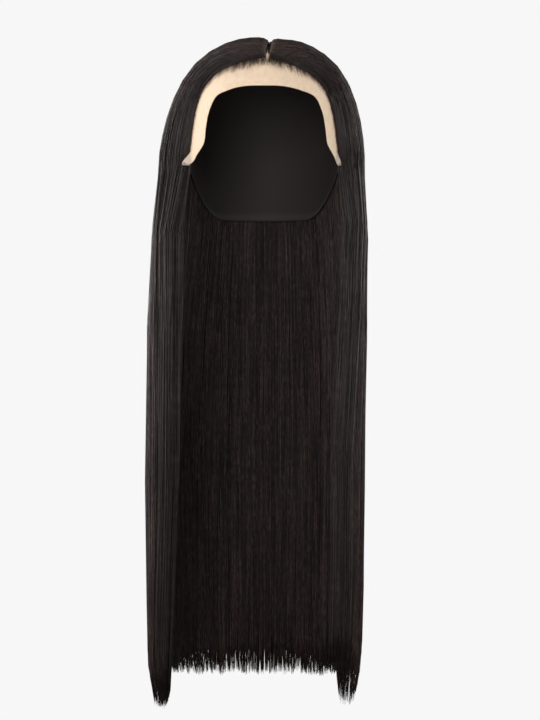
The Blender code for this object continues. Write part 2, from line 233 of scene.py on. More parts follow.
# Share of the strands that fill the thickness instead of lying on a face, by comb
FILLED_COMBS = (0.68, 0.76, 0.90, 0.94)
FILLED_SHARES = (0.0, 0.6, 0.6, 0.7)
STATION_SHIFT = 0.35            # share of a step by which a strand's stations move at random
WANDER = 0.0026                 # comb by which a strand wanders to each side of its line
WANDER_FROM = 0.25              # travel over which it starts to
WANDER_DEPTH = 0.012            # depth by which it rises and sinks
EDGE_COMBS = (0.0005, 0.9995)   # comb between which it stays
TONE_SHIFT = 0.0012             # metres by which a strand's place in the colour noise moves at random
ROOT_EMERGE = 0.02              # travel over which a strand rises out of the lace
ROOT_OFFSET = 0.0008            # metres off the head at which strands root
LACE_ROOTS = (0.42, 0.52)       # comb past which the roots stand in lace that shows; their paler colour there is painted light for the lit lace of the part
PALE_ROOT = 0.006               # metres over which a strand's root is painted paler on the lace: painted light at the part, the brown of the fuzz at the hairline
FLYAWAY_SHARE = 0.04
FLYAWAY = 2.6                   # how many times further than others those wander
CLUMPS = 11                     # ragged clumps that each section ends in
CLUMP_FROM = 1.955
CLUMP_PULL = 0.42
CLUMP_SHIFT = 0.35              # share of its width by which a clump gathers off its middle
CLUMP_SHORTER = 0.010           # metres that a clump may end above the cut
STRAND_SHORTER = 0.005          # the same for a single strand, and for the few that are short
SHORT_SHARE = 0.10
SHORT_BY = 0.007
PAST_CUT = 0.003                # metres that the longest hang below the cut
END_TRAVEL = (1.955, 1.975, 2.0)
END_SQUEEZE = (0.0, 0.12, 1.0)
END_CLOSES = (0.15, 0.30)       # share by which the ends close up, at the back and in the front locks
END_DEPTH = 0.55                # depth towards which they do
LOCK_ROUND = 0.009              # metres that the front locks' faces end above their middle, at most
LOCK_ROUND_FROM = (0.70, 0.80)
# Metres by which the strands of the front locks end above (or below) the cut
LOCK_POINT_COLUMNS = ("comb", "right", "left")
LOCK_POINT = (
    (0.66, 0.000, 0.000),
    (0.73, 0.004, 0.004),
    (0.78, -0.002, -0.004),
    (0.83, -0.009, -0.012),
    (0.88, -0.010, -0.006),
    (0.93, -0.008, -0.001),
    (0.97, -0.004, 0.001),
    (1.00, 0.002, 0.002),
)
HAIRLINE_STRANDS = 900          # on each side
HAIRLINE_STEPS = 9
HAIRLINE_END = 0.98             # way down from the part at which they stop
HAIRLINE_BAND = 0.0085          # metres behind the hairline over which they root
HAIRLINE_BAND_NARROWS = (0.8, 0.15)  # way down from the part over which it gets less
HAIRLINE_BAND_LEAST = 0.45      # share of it that is left at the ears
SWEEP_COMB = (0.020, 0.15)      # comb by which they sweep back over the hair: least, and more at random
SWEEP_LEAST = 0.12              # share of that which is left at the sides
SWEEP_LESS = (0.55, 0.10)       # way down from the part over which it gets less
SWEEP_TRAVEL = (0.04, 0.24)     # travel by which they fall meanwhile
SWEEP_POWER = 1.7
SWEEP_SINK = 0.30               # share of the hair's depth by which their tips sink into it
SWEEP_ARCH = 0.03
SWEEP_RISE = (-0.05, 0.22)      # share of their length over which they rise out of the lace
HAIRLINE_RADIUS = (0.00014, 0.00018)  # least, and more at random
HAIRLINE_LENGTH = 0.03
BABY_HAIRS = 760                # on each side
BABY_STEPS = 5
BABY_LENGTH_SHARE = (0.55, 0.90)  # of the lengths below: least, and more at random
BABY_LEAN = 0.7
BABY_CURL = 0.6
BABY_RADIUS = (0.00007, 0.00008)  # least, and more at random
# Length of the baby hairs along the hairline, from the part down to the ear
BABY_LENGTHS = (
    (0.00, 0.0105),
    (0.20, 0.0105),
    (0.40, 0.0095),
    (0.60, 0.0085),
    (0.80, 0.0080),
    (1.00, 0.0065),
)
ACROSS_LENGTH = 0.30            # metres round from the back to the front edge, about
HEAD_LENGTH = 0.17              # metres along a comb line over the head, about
HANG_LENGTH = 0.54              # metres from there to the cut, about

# Camera and light
VIEW_DISTANCE = 2.0
CAMERA_PLACE = (0.0062, -VIEW_DISTANCE, -0.322)
CAMERA_LENS = 96.6
BACKDROP_LIGHT = 0.93
ROOM_LIGHT = 0.22
FLOOR_HEIGHT = -1.0
FLOOR_RADIUS = 11.0
BACKDROP_RADIUS = 12.0
LIGHTS_AIM = (0.0, 0.0, -0.25)
# Softboxes: name, place, size and power
SOFTBOXES = (
    ("key", (-1.25, -0.65, 0.45), 0.8, 13.0),
    ("brow", (-0.4, -2.2, 0.2), 0.9, 19.5),
    ("fill", (1.25, -0.6, 0.30), 0.8, 12.0),
    ("front", (-0.2, -2.3, -0.5), 0.8, 7.0),
    ("side", (-1.8, 0.1, 0.0), 0.9, 10.0),
    ("rim", (-1.6, 1.3, 0.3), 1.0, 30.0),
    ("back", (1.7, 1.6, 0.3), 1.0, 18.0),
)

# Colours, in linear light
# Hair: dark tones whose lighter end is partly the strands' own tone and partly painted highlight
HAIR_TONE_AND_HIGHLIGHT_COLOURS = ((0.0040, 0.0020, 0.0018, 1.0), (0.0190, 0.0105, 0.0088, 1.0), (0.0640, 0.0400, 0.0325, 1.0))
# Painted shade: the bodies under the strands take a darker copy of the hair's colours, for the shade deep
# in the hair
UNDERLAYER_PAINTED_SHADE_COLOURS = ((0.0030, 0.0018, 0.0018, 1.0), (0.0080, 0.0048, 0.0046, 1.0),
                      (0.0200, 0.0130, 0.0120, 1.0))
# Painted shade: the dark colour that the hair beside the face is mixed towards
PAINTED_SHADE_COLOUR = (0.0030, 0.0014, 0.0010, 1.0)
# Pale roots: painted light for the lit lace in the part, and the brown of the fuzz at the hairline
PALE_ROOT_AND_PAINTED_LIGHT_COLOUR = (0.23, 0.15, 0.105, 1.0)
BABY_HAIR_COLOURS = ((0.016, 0.009, 0.008, 1.0), (0.040, 0.022, 0.016, 1.0), (0.130, 0.075, 0.050, 1.0))
LACE_COLOURS = ((0.72, 0.545, 0.385, 1.0), (0.79, 0.625, 0.465, 1.0))
TAB_COLOUR = (0.56, 0.49, 0.44, 1.0)
KNOT_COLOUR = (0.085, 0.045, 0.032, 1.0)
NET_COLOURS = ((0.008, 0.007, 0.007, 1.0), (0.040, 0.032, 0.030, 1.0))

CURVE_SAMPLES = 1200


def smooth(low, high, value):
    """Goes from 0 at low to 1 at high, level at both ends."""
    share = np.clip((value - low) / (high - low), 0.0, 1.0)
    return share * share * (3.0 - 2.0 * share)


def curve_through(rows, column):
    """Gives a smooth function through one column of a table, keyed on its first column."""
    table = np.array(rows, dtype=float)
    table = table[np.argsort(table[:, 0])]
    keys, values = table[:, 0], table[:, column]
    slopes = np.gradient(values, keys)

    def value_at(key):
        key = np.clip(key, keys[0], keys[-1])
        row = np.clip(np.searchsorted(keys, key, side="right") - 1, 0, len(keys) - 2)
        span = keys[row + 1] - keys[row]
        way = (key - keys[row]) / span
        rise = values[row + 1] - values[row]
        start, end = slopes[row] * span, slopes[row + 1] * span
        bend = (start - rise) * (1.0 - way) + (rise - end) * way
        return values[row] + rise * way + way * (1.0 - way) * bend

    return value_at


HANG_AT = {name: curve_through(HANG, index) for index, name in enumerate(HANG_COLUMNS) if index}
EDGE_AT = {name: curve_through(FRONT_EDGE, index)
           for index, name in enumerate(FRONT_EDGE_COLUMNS) if index}
RISE_AT = {name: curve_through(CUT_RISE, index)
           for index, name in enumerate(CUT_RISE_COLUMNS) if index}
POINT_AT = {name: curve_through(LOCK_POINT, index)
            for index, name in enumerate(LOCK_POINT_COLUMNS) if index}
WAVE_AT = curve_through(HAIRLINE_WAVE, 1)
ROOT_AT = curve_through(ROOT_THICKNESS, 1)
BARE_AT = curve_through(HAIRLINE_BARE, 1)
BABY_LENGTH_AT = curve_through(BABY_LENGTHS, 1)
SIT_AT = {name: curve_through(SIT, index) for index, name in enumerate(SIT_COLUMNS) if index}


def dome_profile():
    """Tabulates the head's outline by share of its length from the top to the ears."""
    turn = np.linspace(0.0, math.pi / 2.0, CURVE_SAMPLES)
    reach = np.sin(turn) ** (2.0 / DOME_POWER)
    rise = np.cos(turn) ** (2.0 / DOME_POWER)
    mean_radius = (HEAD_HALF_WIDTH + HEAD_HALF_DEPTH) / 2.0
    steps = np.hypot(np.diff(reach) * mean_radius, np.diff(rise) * HEAD_DOME_HEIGHT)
    length = np.concatenate([[0.0], np.cumsum(steps)])
    return length / length[-1], reach, rise, length[-1]


SHARES, REACHES, RISES, DOME_LENGTH = dome_profile()


def share_at_height(height):
    """Gives the share of the way down the head at heights on the cap's inner face."""
    on_dome = np.interp(-(height - EAR_HEIGHT) / HEAD_DOME_HEIGHT, -RISES, SHARES)
    return np.where(height < EAR_HEIGHT, 1.0 + (EAR_HEIGHT - height) / DOME_LENGTH, on_dome)


def on_map(azimuth, share):
    """Gives map points at angles round from the back of the head."""
    return np.stack([share * np.sin(azimuth), share * np.cos(azimuth)], axis=-1)


def on_cap(places, offset):
    """Places map points on the cap, a distance off its inner face."""
    share = np.hypot(places[..., 0], places[..., 1])
    azimuth = np.arctan2(places[..., 0], places[..., 1])
    below = np.maximum(share - 1.0, 0.0) * DOME_LENGTH
    reach = np.interp(share, SHARES, REACHES) - below * NET_TAPER
    rise = np.interp(share, SHARES, RISES)
    return np.stack([
        (HEAD_HALF_WIDTH + offset) * reach * np.sin(azimuth),
        (HEAD_HALF_DEPTH + offset) * reach * np.cos(azimuth),
        EAR_HEIGHT + (HEAD_DOME_HEIGHT + offset) * rise - below,
    ], axis=-1)


def between(name, height, depth):
    """Gives a half-width or half-depth of the hair, at a depth from its inner to its outer face."""
    inner = HANG_AT[name + "_in"](height)
    return inner + (HANG_AT[name + "_out"](height) - inner) * depth


def comb_roots(side, comb):
    """Gives the map points where comb lines start, and the directions in which they leave."""
    sign = SIDES[side]
    way = np.clip((comb - CROWN_COMB) / (1.0 - CROWN_COMB), 0.0, 1.0)
    turn = np.clip(comb / CROWN_COMB, 0.0, 1.0) * math.pi / 2.0
    heading = np.stack([sign * np.sin(turn), np.cos(turn)], axis=-1)
    radius = PART_HALF_GAP + (CROWN_RADIUS - PART_HALF_GAP) * np.cos(turn)
    radius = radius + PART_SHOWS * smooth(*PART_OPENS, comb)
    root = radius[..., None] * heading
    root[..., 0] += PART_OFFSET
    root[..., 1] += PART_BACK + (PART_FRONT - PART_BACK) * way
    return root, heading


def comb_lines(side, comb, way):
    """Gives map points of comb lines, from their roots to the level of the ears."""
    root, heading = comb_roots(side, comb)
    azimuth = np.radians(EDGE_AT[side](EAR_HEIGHT)) * comb * SIDES[side]
    end = on_map(azimuth, 1.0)
    handles = (root, root + heading * PARTING_PULL, end * FALL_FROM, end)
    back = 1.0 - way
    weights = (back ** 3, 3.0 * back * back * way, 3.0 * back * way * way, way ** 3)
    places = sum(weight[..., None] * handle for weight, handle in zip(weights, handles))
    places[..., 1] += WAVE_AT(way) * np.maximum(comb, 0.0) ** HAIRLINE_REACH
    return places


def cut_height(side, comb):
    """Gives the heights at which comb lines are cut."""
    return CUT_HEIGHT + RISE_AT[side](comb)


def hair_points(side, comb, travel, depth):
    """Places points of the hair: comb line, travel along it, and depth into its thickness."""
    comb, travel, depth = np.broadcast_arrays(comb, travel, depth)
    places = comb_lines(side, comb, np.clip(travel, 0.0, 1.0))
    share = np.hypot(places[..., 0], places[..., 1])
    azimuth = np.arctan2(places[..., 0], places[..., 1])
    half_width = np.where(places[..., 0] > 0.0, between("left", EAR_HEIGHT, depth),
                          between("right", EAR_HEIGHT, depth))
    half_depth = np.where(places[..., 1] > 0.0, between("back", EAR_HEIGHT, depth),
                          between("front", EAR_HEIGHT, depth))
    reach = np.interp(share, SHARES, REACHES)
    rise = np.interp(share, SHARES, RISES)
    top = HEAD_DOME_HEIGHT + HAIR_LIFT + (HAIR_TOP - HAIR_LIFT) * depth
    on_head = np.stack([
        half_width * reach * np.sin(azimuth) + HAIR_LEAN * rise * depth,
        half_depth * reach * np.cos(azimuth),
        EAR_HEIGHT + top * rise,
    ], axis=-1)

    height = EAR_HEIGHT + (cut_height(side, comb) - EAR_HEIGHT) * np.maximum(travel - 1.0, 0.0)
    azimuth = np.radians(EDGE_AT[side](height)) * comb
    half_depth = np.where(np.cos(azimuth) > 0.0, between("back", height, depth),
                          between("front", height, depth))
    hanging = np.stack([
        SIDES[side] * between(side, height, depth) * np.sin(azimuth),
        half_depth * np.cos(azimuth),
        height,
    ], axis=-1)
    return np.where((travel < 1.0)[..., None], on_head, hanging)


def hair_depths(side, comb, travel, groove):
    """Gives the depths of the hair's inner and outer faces along comb lines."""
    bare = BARE_AT(travel)
    edge = np.clip((1.0 - bare - comb) / (EDGE_BAND - bare), 0.0, 1.0)
    roundness = np.sqrt(1.0 - (1.0 - edge) ** 2)
    drop = np.maximum(travel - 1.0, 0.0) * (EAR_HEIGHT - cut_height(side, comb))
    turned = smooth(0.0, EDGE_ROUND_OVER, drop)
    roundness = roundness ** (1.0 + RIM_POWER * (1.0 - turned))
    middle = HAIRLINE_THICKNESS + (EDGE_MIDDLE - HAIRLINE_THICKNESS) * turned
    outer = middle + (1.0 - groove - middle) * roundness + EDGE_HALF_WALL * turned * (1.0 - roundness)
    inner = (middle - EDGE_HALF_WALL) * turned * (1.0 - roundness)
    opened = smooth(*PART_OPENS, comb)
    rise = ROOT_RISE[side] + (FRONT_RISE - ROOT_RISE[side]) * opened
    risen = np.sin(math.pi / 2.0 * np.clip(travel / rise, 0.0, 1.0))
    root = ROOT_AT(comb)
    outer = outer * (root + (1.0 - root) * risen) * SIT_AT[side](travel)
    sunk = RIM_SINKS * (1.0 - turned) * (1.0 - roundness)
    return inner - sunk, outer - sunk


def behind_hairline(comb, travel, more=0.0):
    """Draws comb lines back from the hairline, where only short hairs grow."""
    return comb - (BARE_AT(travel) + more) * smooth(BARE_FROM, 1.0, comb)


def painted_front_shade(comb, travel):
    """Gives how much painted shade darkens the hair beside the face, where it is turned away from the
    light.
    """
    return smooth(*PAINTED_SHADE_COMBS, comb) * smooth(*PAINTED_SHADE_TRAVEL, travel)


def lock_groove(comb):
    """Gives how deep the uneven grooves between locks are at comb lines."""
    lock = np.abs(np.sin(math.pi * LOCK_COUNT * comb + 0.9 * np.sin(11.0 * comb + 0.6)))
    wisp = np.abs(np.sin(math.pi * WISP_COUNT * comb + 1.7 * np.sin(23.0 * comb)))
    return LOCK_DEPTH * (1.0 - lock) ** 2 + WISP_DEPTH * (1.0 - wisp) ** 2


class Socket:
    """One output of a shader node. Sums and products of these add Math nodes."""

    def __init__(self, tree, link):
        self.tree = tree
        self.link = link

    def math(self, operation, *others):
        return self.tree.node("ShaderNodeMath", {"operation": operation}, [self, *others])

    def __add__(self, other):
        return self.math("ADD", other)

    def __sub__(self, other):
        return self.math("SUBTRACT", other)

    def __mul__(self, other):
        return self.math("MULTIPLY", other)

    def __rsub__(self, other):
        return self.tree.node("ShaderNodeMath", {"operation": "SUBTRACT"}, [other, self])

    __radd__ = __add__
    __rmul__ = __mul__


class Finish:
    """A material under construction, with one method that adds any node."""

    def __init__(self, name, **sockets):
        self.material = bpy.data.materials.new(name)
        self.material.use_nodes = True
        self.shader = self.material.node_tree.nodes["Principled BSDF"]
        for socket, value in sockets.items():
            self.shader.inputs[socket.replace("_", " ")].default_value = value

    def node(self, kind, settings=None, inputs=(), output=0):
        """Adds a node: its settings first, then values or links for its sockets, by number or name."""
        made = self.material.node_tree.nodes.new(kind)
        for name, value in (settings or {}).items():
            if name == "stops":
                self.set_stops(made.color_ramp, value)
            else:
                setattr(made, name, value)
        pairs = inputs.items() if isinstance(inputs, dict) else enumerate(inputs)
        for place, value in pairs:
            self.put(made.inputs[place], value)
        return Socket(self, made.outputs[output])

    def set_stops(self, ramp, stops):
        """Gives a colour ramp its stops, as pairs of position and colour."""
        while len(ramp.elements) < len(stops):
            ramp.elements.new(0.5)
        for element, (position, colour) in zip(ramp.elements, stops):
            element.position = position
            element.color = colour

    def put(self, socket, value):
        """Links a socket, or gives it a value."""
        if isinstance(value, Socket):
            self.material.node_tree.links.new(value.link, socket)
        else:
            socket.default_value = value

    def set(self, name, value):
        """Links one of the shader's own sockets."""
        self.put(self.shader.inputs[name], value)

    def attribute(self, name):
        """Reads a number stored on the mesh."""
        return self.node("ShaderNodeAttribute", {"attribute_name": name}, output="Fac")

    def vector(self, x, y, z):
        return self.node("ShaderNodeCombineXYZ", None, [x, y, z])

    def noise(self, vector, scale, detail=2.0, roughness=0.5):
        return self.node("ShaderNodeTexNoise", None,
                         {"Vector": vector, "Scale": scale, "Detail": detail, "Roughness": roughness})

    def ramp(self, factor, *stops):
        return self.node("ShaderNodeValToRGB", {"stops": stops}, [factor])

    def mix(self, factor, first, second):
        """Mixes two colours."""
        return self.node("ShaderNodeMix", {"data_type": "RGBA"},
                         {"Factor": factor, 6: first, 7: second}, output=2)

    def bump(self, height, strength, distance):
        return self.node("ShaderNodeBump", None,
                         {"Height": height, "Strength": strength, "Distance": distance})


def hair_finish(name, colours, roughness, specular):
    """Soft black hair with a brown cast: fine streaks along it, and short broken highlights, partly painted
    into its colour and partly from its roughness and bump.
    """
    finish = Finish(name, IOR=1.45, Specular_IOR_Level=specular)
    across = finish.attribute("across")
    along = finish.attribute("along")
    streak = finish.noise(finish.vector(across * 820.0, along * 14.0, 0.0), 1.0, 3.0, 0.6)
    crimp = finish.noise(finish.vector(across * 700.0, along * 130.0, 3.0), 1.0, 2.0, 0.6)
    tone = streak * 0.5 + crimp * 0.5
    # The lighter end of this ramp, along the crimp, is partly the strands' own tone and partly painted
    # highlights
    colour = finish.ramp(tone, *zip((0.38, 0.50, 0.62), colours))
    # Painted shade: hair beside the face, turned away from the light, is mixed towards a darker colour
    hair_with_painted_shade = finish.mix(finish.attribute("shade") * 0.55, colour, PAINTED_SHADE_COLOUR)
    # Paler roots: painted light where the part's lace shows between the strands, and the brown fuzz at the
    # hairline
    pale = finish.attribute("pale") * (tone * 0.8 + 0.35)
    finish.set("Base Color", finish.mix(pale, hair_with_painted_shade, PALE_ROOT_AND_PAINTED_LIGHT_COLOUR))
    finish.set("Roughness", tone * -0.5 + roughness)
    finish.set("Normal", finish.bump(crimp * 0.7 + streak * 0.3, 0.7, 0.0012))
    return finish.material


def baby_hair_finish():
    """Fine dark brown hair at the hairline, paler towards its tips."""
    finish = Finish("baby_hair", IOR=1.45, Roughness=0.6)
    along = finish.attribute("along")
    finish.set("Base Color", finish.ramp(along, *zip((0.0, 0.5, 1.0), BABY_HAIR_COLOURS)))
    return finish.material


def thread_net(finish, places, pitch, width):
    """Gives 1 on the threads of a fine three-way net and 0 in its holes."""
    threads = None
    for turn in (0.0, 60.0, 120.0):
        angle = math.radians(turn)
        across = finish.node("ShaderNodeVectorMath", {"operation": "DOT_PRODUCT"},
                             [places, (math.cos(angle), math.sin(angle), 0.0)], output="Value")
        wave = (across * (2.0 * math.pi / pitch)).math("COSINE")
        thread = wave.math("GREATER_THAN", 1.0 - width)
        threads = thread if threads is None else threads.math("MAXIMUM", thread)
    return threads


def lace_finish():
    """Sheer skin-coloured lace, darkened by hair knots that thin out in front of the hairline."""
    finish = Finish("lace", Roughness=0.8, IOR=1.4)
    places = finish.vector(finish.attribute("across"), finish.attribute("along"), 0.0)
    threads = thread_net(finish, places, 0.0011, 0.62)
    blotch = finish.noise(places, 150.0, 3.0)
    hair = finish.attribute("hair")
    dots = finish.node("ShaderNodeTexVoronoi", None,
                       {"Vector": places, "Scale": 760.0, "Randomness": 0.7}, output="Distance")
    knots = hair * (1.0 - dots.math("GREATER_THAN", 0.30)) * 0.75 + hair * hair * 0.25
    cloth = finish.ramp(blotch, *zip((0.30, 0.70), LACE_COLOURS))
    tab = finish.attribute("tab")
    sheer = finish.mix(tab * 0.6, cloth, TAB_COLOUR)
    finish.set("Base Color", finish.mix(knots, sheer, KNOT_COLOUR))
    finish.set("Alpha", (threads * 0.5 + 0.5) * (1.0 - tab * 0.45))
    finish.set("Normal", finish.bump(threads, 0.35, 0.0002))
    return finish.material


def net_finish():
    """Black stretch net with fine ribs and a stitched hem."""
    finish = Finish("net", Roughness=0.8, IOR=1.45)
    places = finish.vector(finish.attribute("across"), finish.attribute("along"), 0.0)
    threads = thread_net(finish, places, 0.0016, 0.75)
    hem = finish.attribute("hem")
    tone = threads * 0.6 + hem * 0.4
    finish.set("Base Color", finish.ramp(tone, *zip((0.0, 1.0), NET_COLOURS)))
    finish.set("Normal", finish.bump(threads, 0.6, 0.0004))
    return finish.material


def add_piece(name, mesh, material):
    """Makes a smooth-shaded piece that rides on the wig."""
    mesh.materials.append(material)
    mesh.shade_smooth()
    piece = bpy.data.objects.new(name, mesh)
    bpy.context.scene.collection.objects.link(piece)
    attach(piece, "root")
    return piece


def store(mesh, name, values):
    """Stores a number for each vertex, for the material to read."""
    mesh.attributes.new(name, "FLOAT", "POINT").data.foreach_set("value", np.ravel(values))


def two_faced_mesh(name, columns, rows, place, marks):
    """Models a closed wall from an outer and an inner grid, joined round their rims.

    place gives the points of a face (0 is outer, 1 is inner) from its shares across and down,
    and marks gives the numbers that the material reads there.
    """
    shape = bmesh.new()
    stored = {}
    for face in range(2):
        grid = bmesh.ops.create_grid(shape, x_segments=columns, y_segments=rows, size=0.5)["verts"]
        across, down = np.array([vert.co[:2] for vert in grid]).T + 0.5
        for vert, point in zip(grid, place(face, across, down)):
            vert.co = point
        for key, values in marks(across, down).items():
            stored.setdefault(key, []).append(values)
    bmesh.ops.bridge_loops(shape, edges=[edge for edge in shape.edges if edge.is_boundary])
    bmesh.ops.recalc_face_normals(shape, faces=shape.faces)
    mesh = bpy.data.meshes.new(name)
    shape.to_mesh(mesh)
    shape.free()
    for key, values in stored.items():
        store(mesh, key, np.concatenate(values))
    return mesh


def hair_body(side, name, start, end):
    """Models a section of hair as one closed body of locks and wisps, just under its strands."""
    def lines(across, down):
        share = BODY_INSET + (1.0 - 2.0 * BODY_INSET) * across
        return start + (end - start) * share, BODY_THINS[1] * down ** BODY_ROW_POWER

    def place(face, across, down):
        comb, travel = lines(across, down)
        comb = behind_hairline(comb, travel, BODY_BARE)
        inner, outer = hair_depths(side, comb, travel, lock_groove(comb))
        sunk = BODY_SINK * np.clip(outer * 2.0, 0.0, 1.0)
        middle = (inner + outer) / 2.0
        thinning = 1.0 - BODY_END * smooth(*BODY_THINS, travel)
        depth = inner + BODY_SINK_INSIDE * sunk if face else outer - sunk
        return hair_points(side, comb, travel, middle + (depth - middle) * thinning)

    def marks(across, down):
        comb, travel = lines(across, down)
        # the body also carries the painted shade beside the face
        return {"across": comb * ACROSS_LENGTH, "along": length_along(travel),
                "shade": painted_front_shade(comb, travel)}

    return two_faced_mesh(name, BODY_COLUMNS, BODY_ROWS, place, marks)


def length_along(travel):
    """Gives the length of hair from its root, in metres."""
    return HEAD_LENGTH * np.minimum(travel, 1.0) + HANG_LENGTH * np.maximum(travel - 1.0, 0.0)


def tube_mesh(name, centres, radii, roll):
    """Joins one closed three-sided tube along each row of points."""
    count, stations = radii.shape
    forward = np.gradient(centres, axis=1)
    forward /= np.linalg.norm(forward, axis=2, keepdims=True)
    outward = centres.copy()
    outward[..., 2] = np.maximum(centres[..., 2] - EAR_HEIGHT, 0.0)
    sideways = np.cross(forward, outward)
    sideways /= np.linalg.norm(sideways, axis=2, keepdims=True)
    upward = np.cross(sideways, forward)
    turn = roll[:, None] + np.arange(3) * 2.0 * math.pi / 3.0
    ring = (np.cos(turn)[:, None, :, None] * sideways[:, :, None]
            + np.sin(turn)[:, None, :, None] * upward[:, :, None])
    points = centres[:, :, None] + radii[:, :, None, None] * ring
    first = np.arange(count)[:, None] * stations * 3
    base = first + np.arange(stations - 1) * 3
    walls = [np.stack([base + corner, base + corner + 3, base + (corner + 1) % 3 + 3,
                       base + (corner + 1) % 3], axis=-1).reshape(-1, 4) for corner in range(3)]
    last = first[:, 0] + (stations - 1) * 3
    ends = np.concatenate([np.stack([first[:, 0], first[:, 0] + 1, first[:, 0] + 2], axis=-1),
                           np.stack([last + 2, last + 1, last], axis=-1)])
    mesh = bpy.data.meshes.new(name)
    mesh.from_pydata(points.reshape(-1, 3), [], np.concatenate(walls).tolist() + ends.tolist())
    mesh.validate()
    return mesh


def mark_strands(mesh, shape, **marks):
    """Stores numbers of strands, or of the stations along them, on the vertices round them."""
    for name, values in marks.items():
        values = np.broadcast_to(values, shape)
        store(mesh, name, np.repeat(values[:, :, None], 3, axis=2))


def pale_root_and_painted_light(along):
    """Gives how much paler strands are near their root, at distances along them: painted light where the
    part's lace shows, and the brown of the fuzz at the hairline.
    """
    return 1.0 - smooth(0.0, PALE_ROOT, along)


def lace_rise(places, centres, rise):
    """Brings the roots of strands down onto the lace, by a share that goes from 0 to 1."""
    rooted = on_cap(places, ROOT_OFFSET)
    return rooted + (centres - rooted) * rise[..., None]


def layer_fill(layer, comb, random):
    """Gives how far out strands lie in the thickness, for an outer, a middle and an inner layer."""
    count = len(comb)
    outer = 1.0 - OUTER_LAYER * random.random(count) ** 1.5
    middle = np.where(random.random(count) < MIDDLE_OUTWARD, 1.0 - MIDDLE_LAYER * random.random(count),
                      random.random(count))
    inner = INNER_LAYER * random.random(count)
    filled = random.random(count) < np.interp(comb, FILLED_COMBS, FILLED_SHARES)
    return np.where(filled, random.random(count), np.choose(layer, (outer, middle, inner)))


def strand_lengths(side, comb, fill, clump, random):
    """Gives the travel at which strands end: in ragged clumps, and in a point on the front locks."""
    shorter = CLUMP_SHORTER * random.random(clump.max() + 1) ** 1.4
    shorter = shorter[clump] + STRAND_SHORTER * random.random(len(comb))
    shorter += SHORT_BY * (random.random(len(comb)) < SHORT_SHARE)
    shorter += (LOCK_ROUND * smooth(*LOCK_ROUND_FROM, comb) * (2.0 * fill - 1.0) ** 2
                * (0.25 + 0.75 * random.random(len(comb))))
    return 2.0 - (shorter - PAST_CUT + POINT_AT[side](comb)) / HANG_LENGTH


def hair_strands(side, name, start, end, random):
    """Lays strands through a section of hair, most of them at its outer and inner faces."""
    count = STRANDS_PER_SECTION
    comb = start + (end - start) * (np.arange(count) + random.random(count)) / count
    layer = random.integers(0, 3, count)
    bin_width = (end - start) / CLUMPS
    bins = np.minimum((comb - start) / bin_width, CLUMPS - 1).astype(int)
    clump = bins * 3 + layer
    fill = layer_fill(layer, comb, random)
    ends = strand_lengths(side, comb, fill, clump, random)
    stations = np.array(STRAND_TRAVEL)
    room = np.minimum(np.diff(stations, prepend=0.0), np.diff(stations, append=2.0))
    shift = STATION_SHIFT * (random.random((count, 1)) - 0.5) * room
    travel = (stations + shift) * ends[:, None] / 2.0

    phase = random.random((3, count, 1)) * 2.0 * math.pi
    pace = 0.5 + random.random((3, count, 1)) * 1.3
    wander = sum(np.sin(travel * pace[turn] * 2.0 * (turn + 1) + phase[turn]) / (turn + 1)
                 for turn in range(3))
    loose = np.where(random.random(count) < FLYAWAY_SHARE, FLYAWAY, 1.0)[:, None]
    easing = smooth(0.0, WANDER_FROM, travel)
    line = comb[:, None] + WANDER * loose * wander * easing
    middle = start + bin_width * (bins + 0.5 + CLUMP_SHIFT * (random.random(3 * CLUMPS)[clump] - 0.5))
    line = line + (middle[:, None] - line) * CLUMP_PULL * smooth(CLUMP_FROM, 2.0, travel)
    line = behind_hairline(np.clip(line, *EDGE_COMBS), travel)
    inner, outer = hair_depths(side, line, travel, lock_groove(line))
    closes = END_CLOSES[0] + (END_CLOSES[1] - END_CLOSES[0]) * smooth(*LOCK_ROUND_FROM, line)
    squeeze = 1.0 - closes * np.interp(travel, END_TRAVEL, END_SQUEEZE)
    depth = END_DEPTH + (inner + (outer - inner) * fill[:, None] - END_DEPTH) * squeeze
    depth = depth + WANDER_DEPTH * loose * easing * np.sin(travel * 5.0 * pace[1] + phase[2])
    centres = hair_points(side, line, travel, depth)
    centres = lace_rise(comb_lines(side, line, np.minimum(travel, 1.0)), centres,
                        smooth(-0.5 * ROOT_EMERGE, ROOT_EMERGE, travel))
    radii = np.interp(random.random(count), (0.0, 1.0), STRAND_RADIUS)[:, None]
    radii = radii * np.interp(stations, TAPER_TRAVEL, STRAND_TAPER)
    mesh = tube_mesh(name, centres, radii, phase[0, :, 0])
    across = comb[:, None] * ACROSS_LENGTH + TONE_SHIFT * random.random((count, 1))
    along = length_along(travel)
    # Paler roots near the part: painted light for the lace that shows there
    # Stores the painted shade beside the face with the strands' other numbers
    mark_strands(mesh, travel.shape, across=across, along=along, shade=painted_front_shade(line, travel),
                 pale=smooth(*LACE_ROOTS, line) * pale_root_and_painted_light(along))
    return mesh


def hairline_frame(side, way):
    """Gives points of the hairline, with the directions along it and out over the lace."""
    nudge = 0.01
    ones = np.ones_like(way)
    line = comb_lines(side, ones, way)
    along = comb_lines(side, ones, np.minimum(way + nudge, 1.0)) - comb_lines(side, ones, way - nudge)
    along /= np.linalg.norm(along, axis=-1, keepdims=True)
    out = np.stack([along[..., 1], -along[..., 0]], axis=-1) * SIDES[side]
    return line, along, out


def hairline_band(way):
    """Gives how deep the band is over which short hairs root, in map lengths."""
    share = HAIRLINE_BAND_LEAST + (1.0 - HAIRLINE_BAND_LEAST) * smooth(*HAIRLINE_BAND_NARROWS, way)
    return HAIRLINE_BAND * share / DOME_LENGTH


